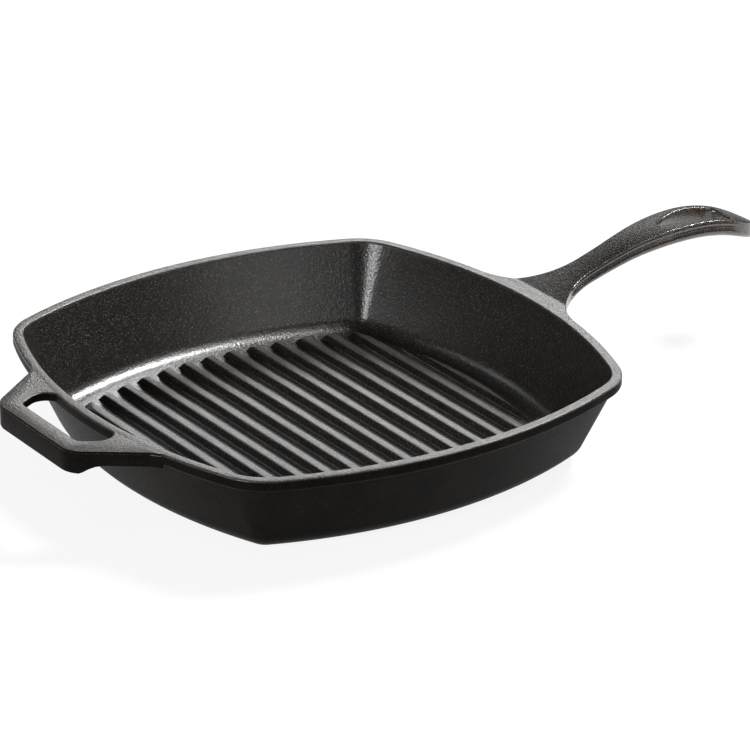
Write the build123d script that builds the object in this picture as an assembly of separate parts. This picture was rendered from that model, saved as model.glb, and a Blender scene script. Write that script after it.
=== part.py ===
from build123d import *
import os
from math import atan2, cos, degrees, radians, sin, sqrt, tan

# A square cast-iron grill pan, split into the features of its one casting.
# The origin is the middle of the flat underside, +Z is up, +X runs along the main handle and the
# ribs run along Y. Sizes are in millimetres, angles in degrees, shares are plain fractions.

# Pan. Its outline is four bowed sides and round corners, drawn in by an inset at each height.
PAN_SIDE = 266.7              # middle of one side to the middle of the opposite one, at the rim
PAN_HEIGHT = 45.7             # underside to the top of the rim
SIDE_BOW_RADIUS = 255.0       # outward bow of each side, at the rim
FLOOR_CORNER_RADIUS = 0.6     # corners of the floor plate, widening to about 31 at the rim
FLOOR_THICKNESS = 4.2
WALL_THICKNESS = 3.8          # measured square to the wall
WALL_LEAN = 24.7              # lean of the wall from upright
FOOT_RADIUS = 13.3            # outside, between the wall and the underside
INSIDE_RADIUS = 9.5           # inside, between the wall and the cooking floor
FOOT_EASE = 0.4               # short straight past the foot's rounds, at both of its joints

# Rim, the thickened band round the top of the wall.
RIM_TOP_WIDTH = 5.0
RIM_BAND_HEIGHT = 6.0         # upright outer face
RIM_UNDERSLOPE = 1.4          # drop of the band's underside on its way to the wall
RIM_TOP_BEVEL = 0.6           # inner and outer top edges
RIM_LOWER_BEVEL = 1.2         # lower outer edge

# Cooking ribs.
RIBS_EACH_SIDE = 7            # on each side of the one down the middle
LAST_RIB_GAP = 4.85           # middle of the outermost rib to the line where the ribs' feet end
RIB_HEIGHT = 4.1
RIB_TOP_WIDTH = 4.8           # over the rounded top edges
RIB_TOP_RADIUS = 0.9
RIB_DRAFT = 6.0               # lean of the rib's sides from upright
RIB_FOOT_SIZE = 0.9           # size of the sloping foot on each side of a rib
RIB_END_GAP = 2.4             # floor plate's edge to the foot of the ribs' ends
RIB_END_RUN = 4.2             # how far the ends slope back over the ribs' height

# Main handle, measured outwards from the middle of the rim's outer face.
HANDLE_REACH = 141.9
CREASE_PLACE = 4.7            # end of the flat root, where the top face starts to rise
NECK_LENGTH = 37.6            # end of the narrow, straight neck
NECK_WIDTH = 15.8
GRIP_WIDTH = 26.0
SWELL_TURN_SHARE = 0.3        # where the widening turns from hollow to full, between neck and grip
TIP_LENGTH = 18.0             # length of the oval end
TIP_NOSE_SHARE = 0.77         # radius of the very end, of half the grip's width
FLARE_RADIUS = 38.0           # arc between the neck and the rim
FLARE_KEPT_SHARE = 0.93       # how much of the flare's width is kept, so that it has no knife edge
HANDLE_RISE = 21.5            # crest of the top face above the rim
CREST_PLACE = 90.5            # crease to the crest
CLIMB_SHARE = 0.76            # of that, where the straight climb would reach the crest's height
FALL_RADIUS = 96.0            # arc from the crest down to the tip
GRIP_DEPTH = 9.2              # depth past the neck, where the root is as deep as the rim's band
UNDER_DELAY = 5.0             # how much further out than the top the underside starts to rise
UNDER_BEVEL = 2.0
GROOVE_DEPTH = 0.7            # the long groove in each side
GROOVE_START = 14.0
GROOVE_END_GAP = 14.0         # end of the groove to the tip
GROOVE_SHARES = (0.16, 0.52)  # top and bottom of the groove, of the handle's depth

# Teardrop hanging slot.
SLOT_WALL = 3.6               # iron left on each side of the slot
SLOT_TIP_GAP = 18.3           # far end of the slot to the tip
SLOT_LENGTH = 44.2
SLOT_FULL_LENGTH = 10.5       # widest place to the far end
SLOT_END_BOW = 1.5
SLOT_CORNER_RADIUS = 5.5
SLOT_POINT_RADIUS = 1.2
SLOT_EDGE_BEVEL = 1.4
SLOT_EDGE_SHARE = 0.6         # the most of the slot's side wall that this bevel may take

# Helper handle, a flat loop level with the rim, with a skirt turned down round its outside.
HELPER_REACH = 27.65          # rim's outer face to the bar's outer face
HELPER_OUTER_WIDTH = 66.0
HELPER_ROOT_WIDTH = 115.0     # where the arms leave the rim
HELPER_CORNER_RADIUS = 5.0
HELPER_NOTCH_RADIUS = 4.0
NOTCH_KEPT_SHARE = 0.2        # how far that round is kept along the rim, so that it has no knife edge
HELPER_BAR_WIDTH = 10.0
HELPER_WEB = 4.6              # thickness of the flat loop
HELPER_SKIRT = 3.8            # thickness of the skirt
HELPER_ARM_DEPTH = 7.2        # skirt along the arms, measured from the top
HELPER_BAR_DEPTH = 12.0       # skirt along the bar, measured from the top
HELPER_STEP_PLACE = 6.0       # bar's outer face to the step between the two depths
HELPER_STEP_RADIUS = 3.0
FINGER_GAP_OUTER_WIDTH = 51.0
FINGER_GAP_ROOT_WIDTH = 72.0
FINGER_GAP_RADIUS = 3.0

OVERRUN = 20.0                # how far a cutting tool runs past what it cuts

HALF_SIDE = PAN_SIDE / 2
BOW_CENTRE = SIDE_BOW_RADIUS - HALF_SIDE       # each bow's centre lies this far past the middle
LEAN = tan(radians(WALL_LEAN))
UPRIGHT_SHARE = cos(radians(WALL_LEAN))
RIM_SEAT = PAN_HEIGHT - RIM_BAND_HEIGHT - RIM_UNDERSLOPE   # height of the joint of wall and rim
RIB_TOP = FLOOR_THICKNESS + RIB_HEIGHT


def inner_inset(height):
    """Inset of the straight inner face, at a height."""
    return RIM_TOP_WIDTH + (PAN_HEIGHT - height) * LEAN


def outer_inset(height):
    """Inset of the wall's straight outer face, at a height."""
    return inner_inset(height) - WALL_THICKNESS / UPRIGHT_SHARE


FOOT_CENTRE = outer_inset(FOOT_RADIUS) + FOOT_RADIUS / UPRIGHT_SHARE
INSIDE_HEIGHT = FLOOR_THICKNESS + INSIDE_RADIUS
INSIDE_CENTRE = inner_inset(INSIDE_HEIGHT) + INSIDE_RADIUS / UPRIGHT_SHARE
FLOOR_INSET = max(FOOT_CENTRE, INSIDE_CENTRE) + FOOT_EASE
ROUND_RISE_SHARE = 1 - sin(radians(WALL_LEAN))             # height of the foot's rounds, of their radii
FOOT_TOP = max(FOOT_RADIUS * ROUND_RISE_SHARE, FLOOR_THICKNESS + INSIDE_RADIUS * ROUND_RISE_SHARE) + FOOT_EASE
CORNER_RADIUS = FLOOR_INSET + FLOOR_CORNER_RADIUS
CORNER_CENTRE = (sqrt(2 * (SIDE_BOW_RADIUS - CORNER_RADIUS)**2 - BOW_CENTRE**2) - BOW_CENTRE) / 2
SIDE_ANGLE = degrees(atan2(CORNER_CENTRE, CORNER_CENTRE + BOW_CENTRE))
RIB_FIELD_INSET = FLOOR_INSET + RIB_END_GAP
RIB_REACH = HALF_SIDE - RIB_FIELD_INSET
RIB_PITCH = (RIB_REACH - LAST_RIB_GAP) / RIBS_EACH_SIDE
HANDLE_TIP = HALF_SIDE + HANDLE_REACH
CREASE = HALF_SIDE + CREASE_PLACE


def outline(inset):
    """The pan's outline as a face, drawn in by an inset."""
    bow = SIDE_BOW_RADIUS - inset
    reach = bow * cos(radians(SIDE_ANGLE)) - BOW_CENTRE
    across = bow * sin(radians(SIDE_ANGLE))
    diagonal = CORNER_CENTRE + (CORNER_RADIUS - inset) * sqrt(0.5)
    side = ThreePointArc((reach, -across), (bow - BOW_CENTRE, 0), (reach, across))
    bend = ThreePointArc((reach, across), (diagonal, diagonal), (across, reach))
    return make_face(Wire([edge.rotate(Axis.Z, 90 * turn) for turn in range(4) for edge in (side, bend)]))


def carried_round(section):
    """Carries a section, drawn as (inset, height) on the +X side, round the pan's outline.

    Sides turn about their bow's centre and corners about their own, so stretches share end faces.
    """
    placed = Plane.XZ * section
    bow_axis = Axis((-BOW_CENTRE, 0, 0), (0, 0, 1))
    corner_axis = Axis((CORNER_CENTRE, CORNER_CENTRE, 0), (0, 0, 1))
    side = revolve(placed.rotate(bow_axis, -SIDE_ANGLE), axis=bow_axis, revolution_arc=2 * SIDE_ANGLE)
    bend = revolve(placed.rotate(bow_axis, SIDE_ANGLE), axis=corner_axis, revolution_arc=90 - 2 * SIDE_ANGLE)
    return Part() + [piece.rotate(Axis.Z, 90 * turn) for turn in range(4) for piece in (side, bend)]


def at(inset, height):
    """A point of a section on the +X side."""
    return (HALF_SIDE - inset, height)


def foot_arc(centre, height, radius):
    """The round of a section from the leaning face down to the level below it."""
    full = radians(90 - WALL_LEAN)
    return ThreePointArc(*(at(centre - radius * sin(full * share), height - radius * cos(full * share))
                           for share in (1, 0.5, 0)))


def pan_floor():
    """The flat plate between the wall's feet."""
    return extrude(outline(FLOOR_INSET), FLOOR_THICKNESS)


def leaning_joint(height):
    """The level line across the wall at a height, from its outer face to its inner one."""
    return Line(at(outer_inset(height), height), at(inner_inset(height), height))


def pan_foot():
    """The wall's foot, with a round outside and a smaller one inside."""
    outside = foot_arc(FOOT_CENTRE, FOOT_RADIUS, FOOT_RADIUS)
    inside = foot_arc(INSIDE_CENTRE, INSIDE_HEIGHT, INSIDE_RADIUS)
    top = leaning_joint(FOOT_TOP)
    joint = Line(at(FLOOR_INSET, FLOOR_THICKNESS), at(FLOOR_INSET, 0))
    section = Wire([outside, Line(outside @ 0, top @ 0), top, Line(top @ 1, inside @ 0), inside,
                    Line(inside @ 1, joint @ 0), joint, Line(joint @ 1, outside @ 1)])
    return carried_round(make_face(section))


def pan_wall():
    """The leaning wall between its foot and the rim."""
    bottom, top = leaning_joint(FOOT_TOP), leaning_joint(RIM_SEAT)
    return carried_round(make_face(Polyline(bottom @ 0, bottom @ 1, top @ 1, top @ 0, close=True)))


def rim():
    """The thickened band round the top, proud of the wall outside and flush with it inside."""
    inner, outer = at(RIM_TOP_WIDTH, PAN_HEIGHT), at(0, PAN_HEIGHT)
    lower = at(0, PAN_HEIGHT - RIM_BAND_HEIGHT)
    seat = leaning_joint(RIM_SEAT)
    section = make_face(Polyline(seat @ 0, seat @ 1, inner, outer, lower, close=True))
    for corner, size in ((inner, RIM_TOP_BEVEL), (outer, RIM_TOP_BEVEL), (lower, RIM_LOWER_BEVEL)):
        section = chamfer(section.vertices().sort_by_distance(corner)[0], size)
    return carried_round(section)


def drawn_across(face):
    """A side view, drawn as (along, height), as a solid as wide as the pan."""
    return extrude(Plane.XZ.offset(-HALF_SIDE) * face, PAN_SIDE)


def rib_side():
    """The cone whose slope the outermost ribs follow along the +X side."""
    radius = SIDE_BOW_RADIUS - RIB_FIELD_INSET
    cone = Cone(radius, radius - RIB_END_RUN, RIB_HEIGHT, align=(Align.CENTER, Align.CENTER, Align.MIN))
    return Pos(-BOW_CENTRE, 0, FLOOR_THICKNESS) * cone


def rib_end(place, way):
    """The sloping plane that ends the rib at this place, towards +Y or -Y, square to the bow there."""
    bow = SIDE_BOW_RADIUS - RIB_FIELD_INSET
    reach = sqrt(bow**2 - place**2)
    return Plane((place, way * (reach - BOW_CENTRE), FLOOR_THICKNESS),
                 z_dir=(place * RIB_HEIGHT, way * reach * RIB_HEIGHT, bow * RIB_END_RUN))


def rib_bar():
    """One rib at full length: rounded top edges, slightly sloped sides and a sloping foot."""
    half_top = RIB_TOP_WIDTH / 2
    shoulder = half_top + (RIB_HEIGHT - RIB_FOOT_SIZE) * tan(radians(RIB_DRAFT))
    right = [(half_top, RIB_TOP), (shoulder, FLOOR_THICKNESS + RIB_FOOT_SIZE),
             (shoulder + RIB_FOOT_SIZE, FLOOR_THICKNESS)]
    section = make_face(Polyline(*right, *((-x, y) for x, y in reversed(right)), close=True))
    section = fillet(section.vertices().sort_by(Axis.Y)[-2:], RIB_TOP_RADIUS)
    return drawn_across(section)


def grill_ribs():
    """The ribs from -X to +X. Those on the -X side are the others turned half round."""
    side, bar = rib_side(), rib_bar()
    halves = []
    for step in range(RIBS_EACH_SIDE + 1):
        rib = (Pos(RIB_PITCH * step, 0, 0) * bar) & side
        for way in (1, -1):
            rib = split(rib, bisect_by=rib_end(RIB_PITCH * step, way), keep=Keep.BOTTOM)
        halves.append(rib)
    ribs = [rib.rotate(Axis.Z, 180) for rib in reversed(halves[1:])] + halves
    return {f"grill_rib_{number:02d}": rib for number, rib in enumerate(ribs, start=1)}


def handle_side(inset):
    """The handle's +Y side from above: straight neck, swell to the grip and oval end, as tangent arcs."""
    half_neck, half_grip = NECK_WIDTH / 2 - inset, GRIP_WIDTH / 2 - inset
    neck_end, grip_end = HALF_SIDE + NECK_LENGTH, HANDLE_TIP - TIP_LENGTH
    turn = (neck_end + (grip_end - neck_end) * SWELL_TURN_SHARE,
            half_neck + (half_grip - half_neck) * SWELL_TURN_SHARE)
    length, nose = TIP_LENGTH - inset, GRIP_WIDTH / 2 * TIP_NOSE_SHARE - inset
    flank = (length**2 + half_grip**2 - 2 * length * nose) / (half_grip - nose) / 2
    reach = nose / (flank - nose)
    shoulder = (grip_end + (length - nose) * (1 + reach), (flank - half_grip) * reach)
    return [Line((0, half_neck), (neck_end, half_neck)),
            TangentArc((neck_end, half_neck), turn, tangent=(1, 0)),
            TangentArc((grip_end, half_grip), turn, tangent=(-1, 0)),
            TangentArc((grip_end, half_grip), shoulder, tangent=(1, 0)),
            TangentArc((grip_end + length, 0), shoulder, tangent=(0, 1))]


def handle_plan(inset=0):
    """The handle and its flare seen from above, running in under the rim. An inset narrows it."""
    side = handle_side(inset)
    other = [edge.mirror(Plane.XZ) for edge in side]
    handle = make_face(Wire([*side, *other, Line(side[0] @ 0, other[0] @ 0)]))
    joined = outline(inset) + handle
    notches = [vertex for vertex in joined.vertices()
               if abs(vertex.Y) < NECK_WIDTH and CORNER_CENTRE < vertex.X < CREASE]
    joined = fillet(notches, FLARE_RADIUS + inset)
    flare_width = 2 * (NECK_WIDTH / 2 + FLARE_RADIUS) * SIDE_BOW_RADIUS / (SIDE_BOW_RADIUS + FLARE_RADIUS)
    kept = Pos(HALF_SIDE, 0) * Rectangle(2 * (HANDLE_REACH + OVERRUN), flare_width * FLARE_KEPT_SHARE)
    return (joined - outline(outer_inset(RIM_SEAT))) & kept


def handle_line(depth_share):
    """The handle's side line at a share of its depth: level root, straight climb, crest and fall."""
    start = Vector(CREASE + UNDER_DELAY * depth_share, PAN_HEIGHT - RIM_BAND_HEIGHT * depth_share)
    crest = Vector(CREASE + CREST_PLACE, PAN_HEIGHT + HANDLE_RISE - GRIP_DEPTH * depth_share)
    bend = Vector(CREASE + CREST_PLACE * CLIMB_SHARE, crest.Y)
    climb_end = bend - (bend - start).normalized() * (crest.X - bend.X)
    run = HANDLE_TIP + GRIP_DEPTH / 2 - crest.X
    end = (crest.X + run, crest.Y - FALL_RADIUS + sqrt(FALL_RADIUS**2 - run**2))
    return Wire([Line((0, start.Y), start), Line(start, climb_end),
                 TangentArc(crest, climb_end, tangent=(-1, 0)), TangentArc(crest, end, tangent=(1, 0))])


def handle_band(upper_share, lower_share):
    """A band of the handle between two shares of its depth, as wide as the pan."""
    upper, lower = handle_line(upper_share), handle_line(lower_share)
    ends = [Line(upper @ 0, lower @ 0), Line(upper @ 1, lower @ 1)]
    return drawn_across(make_face(Wire([*upper.edges(), *lower.edges(), *ends])))


def slot_face():
    """The teardrop: a rounded point, bowed sides and a blunt end towards the handle's tip."""
    end = HANDLE_TIP - SLOT_TIP_GAP
    point, widest, half = end - SLOT_LENGTH, end - SLOT_FULL_LENGTH, GRIP_WIDTH / 2 - SLOT_WALL
    shoulder = end - SLOT_END_BOW
    side = [TangentArc((widest, half), (point, 0), tangent=(-1, 0)), Line((widest, half), (shoulder, half))]
    cap = ThreePointArc((shoulder, half), (end, 0), (shoulder, -half))
    face = make_face(Wire([*side, *(edge.mirror(Plane.XZ) for edge in side), cap]))
    corners = face.vertices().sort_by(Axis.X)
    face = fillet(corners[-2:], SLOT_CORNER_RADIUS)
    return fillet(face.vertices().sort_by(Axis.X)[0], SLOT_POINT_RADIUS)


def handle_blank():
    """Flare and handle in one: the plan from above and the band from the side, bevelled underneath."""
    blank = extrude(handle_plan(), 2 * PAN_HEIGHT) & handle_band(0, 1)
    return chamfer(blank.edges().sort_by_distance((HANDLE_TIP, 0, 0))[0], UNDER_BEVEL)


def handle_groove():
    """The long groove in each side: a band of the outer skin."""
    skin = handle_plan() - handle_plan(GROOVE_DEPTH)
    start, end = HALF_SIDE + GROOVE_START, HANDLE_TIP - GROOVE_END_GAP
    window = Pos((start + end) / 2, 0) * Rectangle(end - start, PAN_SIDE)
    return extrude(skin & window, 2 * PAN_HEIGHT) & handle_band(*GROOVE_SHARES)


def with_slot(handle):
    """Cuts the hanging slot down through the handle and bevels its upper edge."""
    slotted = handle - extrude(slot_face(), 2 * PAN_HEIGHT)
    above_end = (HANDLE_TIP - SLOT_TIP_GAP, 0, 2 * PAN_HEIGHT)
    brim = slotted.edges().sort_by_distance(above_end)[0]
    return chamfer(brim, min(SLOT_EDGE_BEVEL, SLOT_WALL * SLOT_EDGE_SHARE))


def handle_nodes(ring):
    """The handle, seated on the rim's ring and parted at the crease into its flare and its length."""
    handle = with_slot(handle_blank() - handle_groove()) - ring
    parting = Plane.YZ.offset(CREASE)
    return {"handle_flare": split(handle, bisect_by=parting, keep=Keep.BOTTOM),
            "main_handle": split(handle, bisect_by=parting, keep=Keep.TOP)}


def helper_plan():
    """The helper handle's outside seen from above, running in under the rim."""
    half_root, half_outer = HELPER_ROOT_WIDTH / 2, HELPER_OUTER_WIDTH / 2
    root = sqrt(SIDE_BOW_RADIUS**2 - half_root**2) - BOW_CENTRE
    corners = [(0, half_root), (-root, half_root), (-HALF_SIDE - HELPER_REACH, half_outer)]
    loop = make_face(Polyline(*corners, *((x, -y) for x, y in reversed(corners)), close=True))
    loop = fillet(loop.vertices().sort_by(Axis.X)[:2], HELPER_CORNER_RADIUS)
    joined = outline(0) + loop
    notches = joined.vertices().filter_by(lambda vertex: -vertex.X > root - HELPER_NOTCH_RADIUS
                                          and abs(abs(vertex.Y) - half_root) < HELPER_NOTCH_RADIUS)
    joined = fillet(notches, HELPER_NOTCH_RADIUS)
    kept_width = 2 * (half_root + HELPER_NOTCH_RADIUS * NOTCH_KEPT_SHARE)
    kept = Pos(-HALF_SIDE, 0) * Rectangle(2 * (HELPER_REACH + OVERRUN), kept_width)
    return (joined - outline(outer_inset(RIM_SEAT))) & kept


def finger_gap():
    """The gap between the bar, the arms and the rim, seen from above."""
    bar = HALF_SIDE + HELPER_REACH - HELPER_BAR_WIDTH
    half_root, half_outer = FINGER_GAP_ROOT_WIDTH / 2, FINGER_GAP_OUTER_WIDTH / 2
    inside = HALF_SIDE - RIM_TOP_WIDTH
    corners = [(-inside, half_root), (-HALF_SIDE, half_root), (-bar, half_outer)]
    gap = make_face(Polyline(*corners, *((x, -y) for x, y in reversed(corners)), close=True))
    return fillet(gap.vertices().sort_by(Axis.X)[:2], FINGER_GAP_RADIUS)


def helper_handle(ring):
    """The flat loop with its downturned skirt, deeper along the bar than along the arms."""
    plan = helper_plan()
    body = Pos(0, 0, PAN_HEIGHT) * extrude(plan, -HELPER_BAR_DEPTH)
    hollow = Pos(0, 0, PAN_HEIGHT - HELPER_WEB) * extrude(offset(plan, -HELPER_SKIRT), -HELPER_BAR_DEPTH)
    gap = extrude(finger_gap(), 2 * PAN_HEIGHT)
    arm_bottom, bar_bottom = PAN_HEIGHT - HELPER_ARM_DEPTH, PAN_HEIGHT - HELPER_BAR_DEPTH - OVERRUN
    step = -HALF_SIDE - HELPER_REACH + HELPER_STEP_PLACE
    bend = (step, arm_bottom)
    below = make_face(Polyline(bend, (0, arm_bottom), (0, bar_bottom), (step, bar_bottom), close=True))
    below = fillet(below.vertices().sort_by_distance(bend)[0], HELPER_STEP_RADIUS)
    return body - hollow - gap - drawn_across(below) - ring


def write_parts():
    """Writes each node as one STEP file and prints what was written."""
    ring = rim()
    nodes = {"pan_floor": pan_floor(), "pan_foot": pan_foot(), "pan_wall": pan_wall(), "rim": ring,
             **grill_ribs(), **handle_nodes(ring), "helper_handle": helper_handle(ring)}
    os.makedirs("parts", exist_ok=True)
    for name, solid in nodes.items():
        export_step(solid, f"parts/{name}.step")
        print(f"{name}: {solid.volume:.0f} cubic mm")
    print(f"all: {sum(solid.volume for solid in nodes.values()):.0f} cubic mm")


write_parts()
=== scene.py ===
"""The looks of a square cast-iron grill pan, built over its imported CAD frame.

Sizes are in millimetres and angles in degrees, in the frame of the CAD model: the origin is the middle of
the flat underside, +X runs along the main handle, +Y along the cooking ribs and +Z up out of the pan.
"""

import logging
import math
from collections.abc import Callable, Iterator, Sequence
from contextlib import contextmanager
from dataclasses import dataclass, field
from enum import Enum
from functools import cache

import bmesh
import bpy
from mathutils import Matrix, Vector


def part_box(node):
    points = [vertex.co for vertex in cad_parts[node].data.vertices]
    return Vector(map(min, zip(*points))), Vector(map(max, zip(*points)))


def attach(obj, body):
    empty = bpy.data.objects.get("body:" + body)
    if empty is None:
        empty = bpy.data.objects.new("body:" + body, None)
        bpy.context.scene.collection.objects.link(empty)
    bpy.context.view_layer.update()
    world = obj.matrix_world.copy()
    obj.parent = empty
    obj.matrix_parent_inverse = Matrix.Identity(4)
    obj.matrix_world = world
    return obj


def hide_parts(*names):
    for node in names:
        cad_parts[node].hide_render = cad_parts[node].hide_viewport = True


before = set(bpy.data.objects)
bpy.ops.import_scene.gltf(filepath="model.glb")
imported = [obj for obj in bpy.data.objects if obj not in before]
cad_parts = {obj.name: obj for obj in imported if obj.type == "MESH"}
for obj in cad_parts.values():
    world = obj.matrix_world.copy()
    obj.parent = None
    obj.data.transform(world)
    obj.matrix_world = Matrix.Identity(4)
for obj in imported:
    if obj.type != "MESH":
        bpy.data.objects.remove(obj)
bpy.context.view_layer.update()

MM = 0.001
WELD = 0.002  # corners closer than this become one
SMOOTH_BELOW = 38.0  # faces that meet at a smaller angle than this look smooth
Point = tuple[float, float]
log = logging.getLogger("grill_pan")


class Region(Enum):
    """The parts of the casting that differ in finish and in painted light, in the order of a piece's material
    slots.
    """

    TOP = 0
    INSIDE = 1
    OUTSIDE = 2
    GRIP = 3
    CLIMB = 4


# Outlines


def arc(centre: Point, radius: float, start: float, end: float, steps: int) -> list[Point]:
    """Divides an arc into chords, with its angles counted from +X towards +Y, and gives both ends too."""
    turns = [math.radians(start + (end - start) * i / steps) for i in range(steps + 1)]
    return [(centre[0] + radius * math.cos(turn), centre[1] + radius * math.sin(turn)) for turn in turns]


def between(start: Point, end: Point, steps: int) -> list[Point]:
    """Divides a straight line into equal parts, and gives every point but the last."""
    return [(start[0] + (end[0] - start[0]) * i / steps, start[1] + (end[1] - start[1]) * i / steps)
            for i in range(steps)]


def rounded(corners: Sequence[tuple[float, float, float]], steps: int = 8) -> list[Point]:
    """Draws a closed polygon with rounded corners.

    Args:
        corners: x, y and radius of each corner, anticlockwise.
        steps: number of chords in each round.

    Returns:
        The points of the outline.
    """
    points: list[Point] = []
    for i, (x, y, radius) in enumerate(corners):
        here = Vector((x, y))
        back = (Vector(corners[i - 1][:2]) - here).normalized()
        on = (Vector(corners[(i + 1) % len(corners)][:2]) - here).normalized()
        if radius <= 0:
            points.append((x, y))
            continue
        half = back.angle(on) / 2
        first = here + back * (radius / math.tan(half))
        centre = here + (back + on).normalized() * (radius / math.sin(half))
        spoke = first - centre
        last = here + on * (radius / math.tan(half)) - centre
        sweep = math.atan2(spoke.x * last.y - spoke.y * last.x, spoke.dot(last))
        start = math.atan2(spoke.y, spoke.x)
        points += arc(tuple(centre), radius, math.degrees(start), math.degrees(start + sweep), steps)
    return points


def inward(points: Sequence[Point]) -> list[Vector]:
    """Works out which way each point of an anticlockwise outline moves when the outline is drawn in.

    Args:
        points: the outline.

    Returns:
        One vector for each point, long enough to draw both of its neighbouring edges in by one millimetre.
    """
    ways = []
    for i, (x, y) in enumerate(points):
        back = (Vector((x, y)) - Vector(points[i - 1])).normalized()
        on = (Vector(points[(i + 1) % len(points)]) - Vector((x, y))).normalized()
        normal = (Vector((-back.y, back.x)) + Vector((-on.y, on.x))).normalized()
        ways.append(normal / max(0.5, normal.dot(Vector((-on.y, on.x)))))
    return ways


def grown(points: Sequence[Point], out: float) -> list[Point]:
    """Draws an outline grown by a distance."""
    return [(x - way.x * out, y - way.y * out) for (x, y), way in zip(points, inward(points))]


def eased(value: float, low: float, high: float) -> float:
    """Gives a share that rises smoothly from 0 at low to 1 at high."""
    share = min(1.0, max(0.0, (value - low) / (high - low)))
    return share * share * (3 - 2 * share)


# The workbench


class Bench:
    """One mesh on the workbench, shaped in edit mode."""

    def __init__(self, thing: bpy.types.Object) -> None:
        """Takes up a mesh object."""
        self.thing = thing

    @classmethod
    def plate(cls, name: str, points: Sequence[Point], height: float) -> "Bench":
        """Starts a piece as a flat round plate whose edge is moved on to an outline.

        Args:
            name: name of the piece.
            points: the outline, anticlockwise.
            height: height of the plate.

        Returns:
            The bench with the plate on it.
        """
        bpy.ops.object.select_all(action="DESELECT")
        reach = max(math.hypot(x, y) for x, y in points)
        bpy.ops.mesh.primitive_circle_add(vertices=len(points), radius=reach * MM, fill_type="NGON")
        bench = cls(bpy.context.active_object)
        bench.thing.name = bench.thing.data.name = name
        with bench.editing() as mesh:
            places = mesh.verts.layers.int.new("place")
            for i, loop in enumerate(mesh.faces[:][0].loops):
                loop.vert[places] = i
                loop.vert.co = Vector((*points[i], height)) * MM
            mesh.normal_update()
            for face in mesh.faces:
                if face.normal.z < 0:
                    face.normal_flip()
        return bench

    def take_up(self) -> None:
        """Makes the piece the only one selected, and the active one."""
        bpy.ops.object.select_all(action="DESELECT")
        bpy.context.view_layer.objects.active = self.thing
        self.thing.select_set(True)

    @contextmanager
    def editing(self) -> Iterator[bmesh.types.BMesh]:
        """Opens the mesh in edit mode with nothing selected, and closes it after the work."""
        self.take_up()
        bpy.ops.object.mode_set(mode="EDIT")
        bpy.ops.mesh.select_mode(type="FACE")
        bpy.ops.mesh.select_all(action="DESELECT")
        mesh = bmesh.from_edit_mesh(self.thing.data)
        yield mesh
        bmesh.update_edit_mesh(self.thing.data)
        bpy.ops.object.mode_set(mode="OBJECT")

    def pick(self, test: Callable[[bmesh.types.BMFace], bool]) -> None:
        """Selects the faces that pass a test, in edit mode.

        Args:
            test: says whether a face is wanted.
        """
        bpy.ops.mesh.select_all(action="DESELECT")
        for face in bmesh.from_edit_mesh(self.thing.data).faces:
            if test(face):
                face.select_set(True)
        bmesh.update_edit_mesh(self.thing.data)

    def thicken(self, depth: float) -> None:
        """Makes a plate a solid.

        Args:
            depth: how far it is extruded downwards.
        """
        with self.editing():
            self.pick(lambda face: True)
            bpy.ops.mesh.extrude_region_move(TRANSFORM_OT_translate={"value": (0, 0, -depth * MM)})
            bpy.ops.mesh.select_all(action="SELECT")
            bpy.ops.mesh.normals_make_consistent(inside=False)

    def step_in(self, steps: Sequence[Point], upper: bool, start: Point) -> None:
        """Insets an end face step by step along a section.

        Args:
            steps: inset and height of each step.
            upper: whether the work is on the upper end face, or else the lower.
            start: inset and height of that face before the work.
        """
        with self.editing():
            self.pick(lambda face: (face.normal.z > 0.9) if upper else (face.normal.z < -0.9))
            inset, height = start
            for next_inset, next_height in steps:
                bpy.ops.mesh.inset(thickness=(next_inset - inset) * MM, depth=0, use_even_offset=True)
                bpy.ops.transform.translate(value=(0, 0, (next_height - height) * MM))
                inset, height = next_inset, next_height

    def carry(self, rings: Sequence[tuple[Sequence[Point], float]]) -> None:
        """Extrudes a plate ring by ring, and moves each ring's corners to its own outline.

        Args:
            rings: outline and height of each ring after the first, all with as many points as the plate.
        """
        with self.editing():
            self.pick(lambda face: True)
            for points, height in rings:
                bpy.ops.mesh.extrude_region_move()
                mesh = bmesh.from_edit_mesh(self.thing.data)
                places = mesh.verts.layers.int["place"]
                for vert in mesh.verts:
                    if vert.select:
                        vert.co = Vector((*points[vert[places]], height)) * MM
                bmesh.update_edit_mesh(self.thing.data)
            bpy.ops.mesh.select_all(action="SELECT")
            bpy.ops.mesh.normals_make_consistent(inside=False)

    def slice_across(self, stations: Sequence[float]) -> None:
        """Cuts new edges square to X.

        Args:
            stations: place of each ring of edges along X.
        """
        with self.editing():
            for station in stations:
                bpy.ops.mesh.select_all(action="SELECT")
                bpy.ops.mesh.bisect(plane_co=(station * MM, 0, 0), plane_no=(1, 0, 0), threshold=1e-6)

    def reshape(self, move: Callable[[Vector], Vector]) -> None:
        """Moves every corner of the mesh.

        Args:
            move: gives a corner's new place from its old one, both in millimetres.
        """
        with self.editing() as mesh:
            for vert in mesh.verts:
                vert.co = move(vert.co / MM) * MM

    def cut(self, tool: "Bench") -> None:
        """Cuts away another solid.

        Args:
            tool: the bench with that solid, which is used up.
        """
        self.take_up()
        work = self.thing.modifiers.new("cut", "BOOLEAN")
        work.operation = "DIFFERENCE"
        work.solver = "EXACT"
        work.object = tool.thing
        bpy.ops.object.modifier_apply(modifier=work.name)
        bpy.data.objects.remove(tool.thing)

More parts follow.
